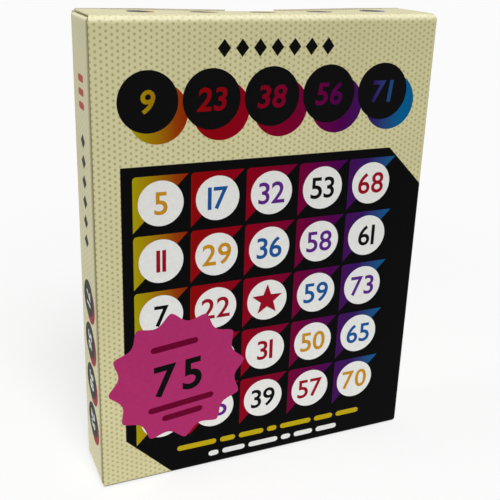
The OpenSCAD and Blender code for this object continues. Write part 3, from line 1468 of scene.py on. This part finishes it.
@dataclass(frozen=True)
class Panel:
    """A flat face of the carton that takes ink: its middle, and its right and up directions."""

    origin: Place
    right: Place
    up: Place
    body: str

    def place(self, points: np.ndarray) -> np.ndarray:
        """Points in the row frame: origin + right x + up y + (right x up) level.

        Args:
            points: Rows of right, up and level over the board.

        Returns:
            The points.
        """
        axes = np.array([self.right, self.up, np.cross(self.right, self.up)])
        return np.asarray(self.origin) + points @ axes


class Shape:
    """Outlines that are seen whole from their middle, as arrays of points."""

    burst_soft: float = 0.25
    burst_span: float = 0.78

    @staticmethod
    def turned(points: np.ndarray, degrees: float) -> np.ndarray:
        """Flat points turned to the left: (x cos t - y sin t, x sin t + y cos t).

        Args:
            points: The points.
            degrees: The turn.

        Returns:
            The turned points.
        """
        angle = math.radians(degrees)
        cos, sin = math.cos(angle), math.sin(angle)
        return points @ np.array([[cos, sin], [-sin, cos]])

    @staticmethod
    def disc(radius: float, steps: int = 48) -> np.ndarray:
        """Circle: r (cos t, sin t)."""
        return radius * around(np.linspace(0.0, 2 * math.pi, steps, endpoint=False))

    @classmethod
    def burst(cls, radius: float, depth: float, points: int, steps: int = 288) -> np.ndarray:
        """Soft-pointed burst: radius r - d (sqrt(sin^2(n t / 2) + e^2) - e) / span at the angle t.

        Args:
            radius: Radius at the points.
            depth: How far the hollows lie in.
            points: Number of points.
            steps: Number of corners of the outline.

        Returns:
            The outline.
        """
        turn = np.linspace(0.0, 2 * math.pi, steps, endpoint=False)
        hollow = np.sqrt(np.sin(points * turn / 2) ** 2 + cls.burst_soft**2) - cls.burst_soft
        reach = radius - depth * hollow / cls.burst_span
        return reach[:, None] * around(turn)

    @staticmethod
    def star(radius: float, points: int = 5, waist: float = 0.42) -> np.ndarray:
        """Straight-edged star: corners at r and at a share of r by turns, one point upwards.

        Args:
            radius: Radius at the points.
            points: Number of points.
            waist: Radius between the points, as a share.

        Returns:
            The outline.
        """
        corner = np.arange(2 * points)
        reach = np.where(corner % 2 == 0, radius, radius * waist)
        return reach[:, None] * around(math.pi / 2 + math.pi / points * corner)

    @staticmethod
    def diamond(width: float, height: float) -> np.ndarray:
        """Diamond with its corners on the axes, half its width and height from the middle."""
        return np.array([[width, 0.0], [0.0, height], [-width, 0.0], [0.0, -height]]) / 2

    @staticmethod
    def bar(length: float, thick: float, steps: int = 9) -> np.ndarray:
        """Bar with round ends: two half circles, a length less a thickness apart.

        Args:
            length: Length of the bar.
            thick: Its thickness.
            steps: Number of points of each half circle.

        Returns:
            The outline.
        """
        cap = thick / 2 * around(np.linspace(-math.pi / 2, math.pi / 2, steps))
        cap[:, 0] += (length - thick) / 2
        return np.concatenate([cap, -cap])

    @staticmethod
    def half_tile(size: float, corner: float, steps: int = 7) -> np.ndarray:
        """Upper left half of a square cut on its diagonal, with a quarter circle at the outer corner.

        Args:
            size: Side of the square.
            corner: Radius of the outer corner.
            steps: Number of points of the quarter circle.

        Returns:
            The outline.
        """
        half = size / 2
        arc = corner * around(np.linspace(math.pi / 2, math.pi, steps)) + [corner - half, half - corner]
        return np.concatenate([[[half, half]], arc, [[-half, -half]]])


class Figures:
    """The ten figures as closed plates of height 1, set from Blender's own font."""

    extrude: float = 0.5
    resolution: int = 5
    decimals: int = 5
    gap: float = 0.09

    def __init__(self, weight: float, slant: float) -> None:
        """Makes the ten plates.

        Args:
            weight: How far the outline is drawn out, as a share of the size.
            slant: Shear of the figures.
        """
        self.plates = [self._plate(str(digit), weight, slant) for digit in range(10)]

    def _plate(self, text: str, weight: float, slant: float) -> tuple[np.ndarray, np.ndarray]:
        """One figure, with its points joined where they meet and scaled by 1 / height.

        Args:
            text: The figure.
            weight: How far the outline is drawn out.
            slant: Shear of the figure.

        Returns:
            Points with the foot at 0, the head at 1 and a level of 0 or 1, and triangles.
        """
        curve = bpy.data.curves.new("figure", "FONT")
        curve.body = text
        curve.extrude = self.extrude
        curve.offset = weight
        curve.shear = slant
        curve.resolution_u = self.resolution
        made = bpy.data.objects.new("figure", curve)
        bpy.context.scene.collection.objects.link(made)
        graph = bpy.context.evaluated_depsgraph_get()
        mesh = bpy.data.meshes.new_from_object(made.evaluated_get(graph))
        mesh.calc_loop_triangles()
        points = np.empty(len(mesh.vertices) * 3, np.float32)
        mesh.vertices.foreach_get("co", points)
        triangles = np.empty(len(mesh.loop_triangles) * 3, np.int32)
        mesh.loop_triangles.foreach_get("vertices", triangles)
        bpy.data.objects.remove(made)
        bpy.data.curves.remove(curve)
        bpy.data.meshes.remove(mesh)
        rounded = np.round(points.reshape(-1, 3), self.decimals)
        points, index = np.unique(rounded, axis=0, return_inverse=True)
        triangles = index.reshape(-1)[triangles].reshape(-1, 3)
        triangles = triangles[np.all(triangles != np.roll(triangles, 1, 1), 1)]
        low, high = points.min(0), points.max(0)
        points = (points - low) / (high[1] - low[1])
        points[:, 2] = np.where(points[:, 2] > points[:, 2].mean(), 1.0, 0.0)
        return points, triangles

    def set(self, number: int, height: float) -> tuple[np.ndarray, np.ndarray]:
        """A number set round its middle, each figure a gap past the one before it.

        Args:
            number: The number.
            height: Height of the figures.

        Returns:
            Points, with a level of 0 or 1, and triangles.
        """
        points, triangles, count, pen = [], [], 0, 0.0
        for digit in str(number):
            plate, faces = self.plates[int(digit)]
            points.append(plate + [pen, 0.0, 0.0])
            triangles.append(faces + count)
            count += len(plate)
            pen += plate[:, 0].max() + self.gap
        joined = np.concatenate(points)
        joined[:, 0] -= (pen - self.gap) / 2
        joined[:, 1] -= 0.5
        joined[:, :2] *= height
        return joined, np.concatenate(triangles)


class InkSheet:
    """Gathers flat shapes of ink on one panel into one piece."""

    def __init__(self, name: str, panel: Panel, inks: Sequence[bpy.types.Material]) -> None:
        """Starts an empty sheet of ink.

        Args:
            name: Name of the piece.
            panel: Face that takes the ink.
            inks: Materials of the slots.
        """
        self.name, self.panel, self.inks = name, panel, inks
        self.points: list[np.ndarray] = []
        self.faces: list[np.ndarray] = []
        self.slots: list[np.ndarray] = []
        self.count = 0

    def add(self, points: np.ndarray, triangles: np.ndarray, ink: int = 0) -> None:
        """Adds a closed plate.

        Args:
            points: Rows of right, up and level over the board.
            triangles: Its triangles.
            ink: Material slot.
        """
        self.points.append(points)
        self.faces.append(triangles + self.count)
        self.slots.append(np.full(len(triangles), ink))
        self.count += len(points)

    def shape(
        self, outline: np.ndarray, middle: Sequence[float], level: float, ink: int = 0, turn: float = 0.0
    ) -> None:
        """Adds a plate: the profile (0, level), (1, level), (1, 0), (0, 0) carried round an outline.

        Args:
            outline: Outline round its middle.
            middle: Place of the middle on the panel.
            level: Level of the ink over the board.
            ink: Material slot.
            turn: Turn of the outline to the left, in degrees.
        """
        ring = Shape.turned(outline, turn)
        hub = ring.mean(0, keepdims=True)
        flat = np.concatenate([hub, ring, ring, hub]) + np.asarray(middle)
        count = len(ring)
        levels = np.repeat([level, 0.0], count + 1)
        top = np.arange(1, count + 1)
        after = np.roll(top, -1)
        low, low_after = top + count, after + count
        pole = np.zeros(count, int)
        triangles = np.concatenate(
            [
                np.stack([pole, top, after], -1),
                np.stack([top, low, low_after], -1),
                np.stack([top, low_after, after], -1),
                np.stack([pole + 2 * count + 1, low_after, low], -1),
            ]
        )
        self.add(np.column_stack([flat, levels]), triangles, ink)

    def number(
        self,
        figures: Figures,
        number: int,
        height: float,
        middle: Sequence[float],
        level: float,
        ink: int = 0,
        turn: float = 0.0,
    ) -> None:
        """Adds a number.

        Args:
            figures: The figures it is set from.
            number: The number.
            height: Height of the figures.
            middle: Place of the middle on the panel.
            level: Level of the ink over the board.
            ink: Material slot.
            turn: Turn of the number to the left, in degrees.
        """
        points, triangles = figures.set(number, height)
        flat = Shape.turned(points[:, :2], turn) + np.asarray(middle)
        self.add(np.column_stack([flat, points[:, 2] * level]), triangles, ink)

    def build(self) -> None:
        """Makes the piece and rides it on the panel's body."""
        points = self.panel.place(np.concatenate(self.points))
        faces, slots = np.concatenate(self.faces), np.concatenate(self.slots)
        piece = make_piece(self.name, points, faces, slots, self.inks)
        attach(piece, self.panel.body)


@dataclass(frozen=True)
class PrintKit:
    """What the prints share: the inks, the figures and the level of one layer of ink."""

    inks: dict[InkColour, bpy.types.Material]
    blended: bpy.types.Material
    plain: Figures
    heavy: Figures
    layer: float = 0.02 * MM

    @classmethod
    def make(cls) -> "PrintKit":
        """Makes the inks, then upright figures and heavier ones that lean."""
        inks = {ink: PlainInk(ink).material() for ink in InkColour}
        return cls(inks, BlendedInk().material(), Figures(0.012, 0.0), Figures(0.02, 0.12))

    def pick(self, *colours: InkColour) -> list[bpy.types.Material]:
        """The materials of some inks, in order."""
        return [self.inks[colour] for colour in colours]


@dataclass(frozen=True)
class RuleRow:
    """A row of plain bars: ink slot, then height, left end and lengths of the bars in millimetres."""

    ink: int
    height: float
    left: float
    lengths: tuple[float, ...]


@dataclass(frozen=True)
class FrontPrint:
    """The print of the front: a row of numbered balls, a bingo grid, a seal and plain rules."""

    kit: PrintKit
    sizes: CartonSizes = SIZES
    ball_numbers: tuple[int, ...] = (9, 23, 38, 56, 71)
    ball_r: float = 9.6 * MM
    ball_steps: int = 64
    ball_pitch: float = 20.6 * MM
    ball_x: float = -1.2 * MM
    ball_z: float = 134.5 * MM
    ball_figure: float = 7.4 * MM
    echo: tuple[float, float] = (3.2 * MM, -3.6 * MM)
    diamonds: int = 7
    diamond: tuple[float, float] = (4.4 * MM, 5.6 * MM)
    diamond_pitch: float = 6 * MM
    diamond_z: float = 150 * MM
    cell: tuple[float, float] = (19.25 * MM, 19.63 * MM)
    grid_top: float = 112 * MM
    tile: float = 18.4 * MM
    tile_corner: float = 1.2 * MM
    disc_r: float = 7.55 * MM
    cell_figure: float = 7.6 * MM
    star_r: float = 6 * MM
    hues: tuple[InkColour, ...] = (
        InkColour.AMBER,
        InkColour.VIOLET,
        InkColour.CRIMSON,
        InkColour.BLUE,
        InkColour.BLACK,
    )
    numbers: tuple[tuple[int, ...], ...] = (
        (5, 17, 32, 53, 68),
        (11, 29, 36, 58, 61),
        (7, 22, 0, 59, 73),
        (13, 16, 31, 50, 65),
        (2, 25, 39, 57, 70),
    )
    seal: tuple[float, float] = (-32.6 * MM, 38.8 * MM)
    seal_r: float = 24.6 * MM
    seal_depth: float = 3.3 * MM
    seal_points: int = 12
    seal_tilt: float = 6.0
    seal_number: int = 75
    seal_figure: float = 12 * MM
    seal_bars: tuple[tuple[float, float], ...] = (
        (12.5 * MM, 17 * MM),
        (-10.5 * MM, 24 * MM),
        (-14.8 * MM, 15 * MM),
    )
    seal_bar: float = 2.3 * MM
    rule_rows: tuple[RuleRow, ...] = (
        RuleRow(0, 9.6, -33.0, (15.0, 6.0, 10.0, 4.0, 13.0, 8.0, 10.0)),
        RuleRow(1, 4.6, -21.0, (4.0, 9.0, 12.0, 4.0, 8.0, 9.0)),
    )
    rule_gap: float = 1.4
    rule_bar: float = 2.1 * MM
    rule_steps: int = 5

    @property
    def panel(self) -> Panel:
        """The front face of the dressed board."""
        face = self.sizes.front_y + self.sizes.ink
        return Panel((0.0, face, 0.0), (1.0, 0.0, 0.0), (0.0, 0.0, 1.0), "sleeve")

    def build(self) -> None:
        """Makes the layers of ink from the board upwards."""
        self.balls()
        self.grid()
        self.seal_print()
        self.rules()

    def balls(self) -> None:
        """Five black balls with blended echoes and numbers, under a row of small diamonds."""
        layer = self.kit.layer
        echoes = InkSheet("front_echoes", self.panel, [self.kit.blended])
        balls = InkSheet("front_balls", self.panel, self.kit.pick(InkColour.BLACK))
        numbers = InkSheet("front_ball_numbers", self.panel, [self.kit.blended])
        disc = Shape.disc(self.ball_r, self.ball_steps)
        for index, value in enumerate(self.ball_numbers):
            x = (index - len(self.ball_numbers) // 2) * self.ball_pitch + self.ball_x
            echoes.shape(disc, (x + self.echo[0], self.ball_z + self.echo[1]), layer)
            balls.shape(disc, (x, self.ball_z), 2 * layer)
            numbers.number(self.kit.heavy, value, self.ball_figure, (x, self.ball_z), 3 * layer)
        for index in range(self.diamonds):
            x = (index - self.diamonds // 2) * self.diamond_pitch
            balls.shape(Shape.diamond(*self.diamond), (x, self.diamond_z), layer)
        for sheet in (echoes, balls, numbers):
            sheet.build()

    def grid(self) -> None:
        """Cells with a blended half tile, a white disc and a plain number, and a star in the middle.

        The number's ink is number 2 row + 3 column of the hues, counted round.
        """
        layer = self.kit.layer
        tiles = InkSheet("grid_tiles", self.panel, [self.kit.blended])
        discs = InkSheet("grid_discs", self.panel, self.kit.pick(InkColour.WHITE))
        marks = InkSheet("grid_numbers", self.panel, self.kit.pick(*self.hues))
        for row, values in enumerate(self.numbers):
            for column, value in enumerate(values):
                x = (column - len(values) // 2) * self.cell[0]
                middle = (x, self.grid_top - (row + 0.5) * self.cell[1])
                tiles.shape(Shape.half_tile(self.tile, self.tile_corner), middle, layer)
                discs.shape(Shape.disc(self.disc_r), middle, 2 * layer)
                if value:
                    ink = (2 * row + 3 * column) % len(self.hues)
                    marks.number(self.kit.plain, value, self.cell_figure, middle, 3 * layer, ink)
                else:
                    ink = self.hues.index(InkColour.CRIMSON)
                    marks.shape(Shape.star(self.star_r), middle, 3 * layer, ink)
        for sheet in (tiles, discs, marks):
            sheet.build()

    def seal_print(self) -> None:
        """A scalloped seal with a number between plain bars, all turned by one tilt."""
        low, high = 4 * self.kit.layer, 5 * self.kit.layer
        tilt = self.seal_tilt
        seal = InkSheet("front_seal", self.panel, self.kit.pick(InkColour.ROSE))
        burst = Shape.burst(self.seal_r, self.seal_depth, self.seal_points)
        seal.shape(burst, self.seal, low, 0, tilt)
        marks = InkSheet("seal_marks", self.panel, self.kit.pick(InkColour.BLACK, InkColour.MAROON))
        marks.number(self.kit.heavy, self.seal_number, self.seal_figure, self.seal, high, 0, tilt)
        for rise, length in self.seal_bars:
            middle = self.seal + Shape.turned(np.array([0.0, rise]), tilt)
            marks.shape(Shape.bar(length, self.seal_bar), middle, high, 1, tilt)
        seal.build()
        marks.build()

    def rules(self) -> None:
        """Two rows of plain bars at the foot, each bar a gap past the one before it."""
        inks = self.kit.pick(InkColour.YELLOW, InkColour.WHITE)
        rules = InkSheet("front_rules", self.panel, inks)
        for row in self.rule_rows:
            pen = row.left
            for length in row.lengths:
                outline = Shape.bar(length * MM, self.rule_bar, self.rule_steps)
                middle = ((pen + length / 2) * MM, row.height * MM)
                rules.shape(outline, middle, self.kit.layer, row.ink)
                pen += length + self.rule_gap
        rules.build()


@dataclass(frozen=True)
class SidePrint:
    """The print of the left side and of the lid: small marks and a column of balls."""

    kit: PrintKit
    sizes: CartonSizes = SIZES
    bars: int = 3
    bar: tuple[float, float] = (7 * MM, 2.2 * MM)
    bar_z: float = 140.5 * MM
    bar_pitch: float = 4.2 * MM
    diamonds: int = 6
    diamond: tuple[float, float] = (5.6 * MM, 4.6 * MM)
    diamond_z: float = 121 * MM
    diamond_pitch: float = 6.6 * MM
    ball_numbers: tuple[int, ...] = (71, 56, 38, 23)
    ball_r: float = 6.4 * MM
    ball_x: float = -0.4 * MM
    ball_z: float = 67.5 * MM
    ball_pitch: float = 15.6 * MM
    ball_figure: float = 5 * MM
    ball_turn: float = -90.0
    echo: tuple[float, float] = (2 * MM, -1.8 * MM)
    lid_balls: int = 5
    lid_ball_r: float = 3.6 * MM
    lid_ball_steps: int = 32
    lid_ball_y: float = 2.5 * MM
    lid_pitch: float = 20.6 * MM
    lid_echo: tuple[float, float] = (1.2 * MM, -1.3 * MM)

    def build(self) -> None:
        """Makes both prints."""
        self.side()
        self.lid()

    def side(self) -> None:
        """Three red marks, a column of diamonds and a column of black balls with numbers."""
        s = self.sizes
        layer = self.kit.layer
        panel = Panel((-s.width / 2 + s.ink, 0.0, 0.0), (0.0, -1.0, 0.0), (0.0, 0.0, 1.0), "sleeve")
        inks = self.kit.pick(InkColour.BLACK, InkColour.RED, InkColour.CRIMSON, InkColour.WHITE)
        sheet = InkSheet("side_print", panel, inks)
        for index in range(self.bars):
            sheet.shape(Shape.bar(*self.bar), (0.0, self.bar_z - index * self.bar_pitch), layer, 1)
        for index in range(self.diamonds):
            z = self.diamond_z - index * self.diamond_pitch
            sheet.shape(Shape.diamond(*self.diamond), (0.0, z), layer)
        disc = Shape.disc(self.ball_r)
        for index, value in enumerate(self.ball_numbers):
            middle = (self.ball_x, self.ball_z - index * self.ball_pitch)
            sheet.shape(disc, np.add(middle, self.echo), layer, 2)
            sheet.shape(disc, middle, 2 * layer)
            sheet.number(self.kit.heavy, value, self.ball_figure, middle, 3 * layer, 3, self.ball_turn)
        sheet.build()

    def lid(self) -> None:
        """Five small balls with echoes across the lid, lowered by its sag.

        The sag is that of the lid: sag (1 - (x / half)^2)^2 times a smooth step along the depth.
        """
        s = self.sizes
        layer = self.kit.layer
        panel = Panel((0.0, 0.0, s.height - s.ink), (1.0, 0.0, 0.0), (0.0, 1.0, 0.0), "top_lid")
        sheet = InkSheet("lid_print", panel, [self.kit.blended, *self.kit.pick(InkColour.BLACK)])
        disc = Shape.disc(self.lid_ball_r, self.lid_ball_steps)
        for index in range(self.lid_balls):
            middle = ((index - self.lid_balls // 2) * self.lid_pitch, self.lid_ball_y)
            sheet.shape(disc, np.add(middle, self.lid_echo), layer)
            sheet.shape(disc, middle, 2 * layer, 1)
        front, rear = s.front_y + s.front_r, s.lid_rear - s.crease_r
        for points in sheet.points:
            share = smooth((points[:, 1] - front) / (rear - front))
            points[:, 2] -= s.lid_sag * share * bulge(points[:, 0], s.lid_half)
        sheet.build()


@dataclass(frozen=True)
class Deck:
    """The cards and their film, which are the CAD's own solids with better finishes."""

    frame: dict[str, Any]
    card_prefix: str = "card_"
    film_node: str = "scratch_films"

    def dress(self) -> None:
        """Gives each card and the film its material."""
        stock, film = CardStock().material(), ScratchFilm().material()
        for name, node in self.frame["nodes"].items():
            if name.startswith(self.card_prefix) or name == self.film_node:
                node.data.materials.clear()
                node.data.materials.append(film if name == self.film_node else stock)
                LOG.info("%s: dressed", name)


@dataclass(frozen=True)
class Lamp:
    """A square soft lamp: its place, its side in metres and its power in watts."""

    name: str
    place: Place
    size: float
    power: float


@dataclass(frozen=True)
class Studio:
    """The camera, the lamps, the pale floor and the white surround."""

    eye: Place = (-0.10997, -0.24163, 0.18048)
    forward: Place = (0.38374, 0.86131, -0.33299)
    up: Place = (0.10445, 0.31780, 0.94239)
    sensor: float = 36.0
    lens: float = 57.454
    shift_y: float = -0.05
    clip: tuple[float, float] = (0.01, 50.0)
    ambient: float = 0.25
    white: float = 0.965
    floor_reach: float = 4.0
    floor_albedo: float = 0.78
    floor_seen: float = 0.35
    floor_glow: float = 0.645
    floor_fade: tuple[float, float] = (0.14, 0.38)
    aim: Place = (0.0, 0.0, 0.08)
    lamps: tuple[Lamp, ...] = (
        Lamp("key", (-0.2, -1.75, 2.5), 1.2, 72.0),
        Lamp("left", (-2.0, 0.45, 0.5), 1.0, 13.0),
    )

    def camera(self) -> None:
        """Sets the camera by its place, its forward direction and its up direction.

        Its axes are right = forward x up, up = right x forward and back = -forward.
        """
        data = bpy.data.cameras.new("camera")
        data.sensor_width = self.sensor
        data.lens = self.lens
        data.shift_y = self.shift_y
        data.clip_start, data.clip_end = self.clip
        camera = bpy.data.objects.new("camera", data)
        bpy.context.scene.collection.objects.link(camera)
        forward = Vector(self.forward).normalized()
        right = forward.cross(Vector(self.up)).normalized()
        up = right.cross(forward)
        turn = Matrix((right, up, -forward)).transposed()
        camera.matrix_world = Matrix.Translation(self.eye) @ turn.to_4x4()
        bpy.context.scene.camera = camera

    def light(self) -> None:
        """Makes the lamps, which look at one aim, then the surround and the floor."""
        bpy.context.scene.view_settings.view_transform = "Standard"
        for lamp in self.lamps:
            data = bpy.data.lights.new(lamp.name, "AREA")
            data.size = lamp.size
            data.energy = lamp.power
            made = bpy.data.objects.new(lamp.name, data)
            made.location = lamp.place
            look = Vector(self.aim) - Vector(lamp.place)
            made.rotation_euler = look.to_track_quat("-Z", "Y").to_euler()
            bpy.context.scene.collection.objects.link(made)
        self.surround()
        self.floor()

    @staticmethod
    def seen(tree: bpy.types.NodeTree) -> bpy.types.NodeSocket:
        """The largest of three marks of a ray: from the camera, from a gloss and through glass.

        Args:
            tree: Node tree that asks.

        Returns:
            Output that gives 1 for such a ray, else 0.
        """
        path = tree.nodes.new("ShaderNodeLightPath")
        total = path.outputs["Is Camera Ray"]
        for name in ("Is Glossy Ray", "Is Transmission Ray"):
            node = tree.nodes.new("ShaderNodeMath")
            node.operation = "MAXIMUM"
            tree.links.new(total, node.inputs[0])
            tree.links.new(path.outputs[name], node.inputs[1])
            total = node.outputs[0]
        return total

    def surround(self) -> None:
        """A world that is white to the camera and a plain ambient light to the object."""
        world = bpy.data.worlds.new("surround")
        world.use_nodes = True
        bpy.context.scene.world = world
        tree = world.node_tree
        ground = tree.nodes["Background"]
        ground.inputs["Color"].default_value = (1.0, 1.0, 1.0, 1.0)
        strength = tree.nodes.new("ShaderNodeMapRange")
        tree.links.new(self.seen(tree), strength.inputs["Value"])
        strength.inputs["To Min"].default_value = self.ambient
        strength.inputs["To Max"].default_value = self.white
        tree.links.new(strength.outputs["Result"], ground.inputs["Strength"])

    def floor(self) -> None:
        """A pale floor that takes the shadow near the carton and fades to the white of the surround.

        By the distance from the middle its matte colour goes to black and its glow to that white.
        """
        graph = Graph("floor")
        tree = graph.tree
        tree.nodes.remove(graph.shader)
        across, along, _ = graph.split(graph.place())
        far = (across * across + along * along).math("SQRT").ramp(*self.floor_fade)
        seen = Signal(graph, self.seen(tree))
        pale, dim, black = ((level,) * 3 + (1.0,) for level in (self.floor_albedo, self.floor_seen, 0.0))
        matte = graph.node("ShaderNodeBsdfDiffuse")
        graph.feed(matte.inputs["Color"], graph.mix(far, graph.mix(seen, pale, dim), black))
        glow = graph.node("ShaderNodeEmission")
        level = far * (self.white - self.floor_glow) + self.floor_glow
        graph.feed(glow.inputs["Strength"], level * seen)
        both = graph.node("ShaderNodeAddShader")
        graph.feed(both.inputs[0], matte.outputs[0])
        graph.feed(both.inputs[1], glow.outputs[0])
        graph.feed(tree.nodes["Material Output"].inputs["Surface"], both.outputs[0])
        corners = self.floor_reach * np.array([[-1, -1, 0], [1, -1, 0], [1, 1, 0], [-1, 1, 0]])
        floor = make_piece("floor", corners, np.array([[0, 1, 2, 3]]), np.zeros(1), [graph.material])


def main() -> None:
    """Loads the frame, sets the camera, builds the pieces in order and lights them."""
    logging.basicConfig(level=logging.INFO, format="%(name)s: %(message)s")
    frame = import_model()
    studio = Studio()
    studio.camera()
    finish = BoardFinish.make()
    Sleeve(finish).build()
    for end in End:
        Closure(finish, end).build()
    kit = PrintKit.make()
    FrontPrint(kit).build()
    SidePrint(kit).build()
    Deck(frame).dress()
    studio.light()


if __name__ == "__main__":
    main()
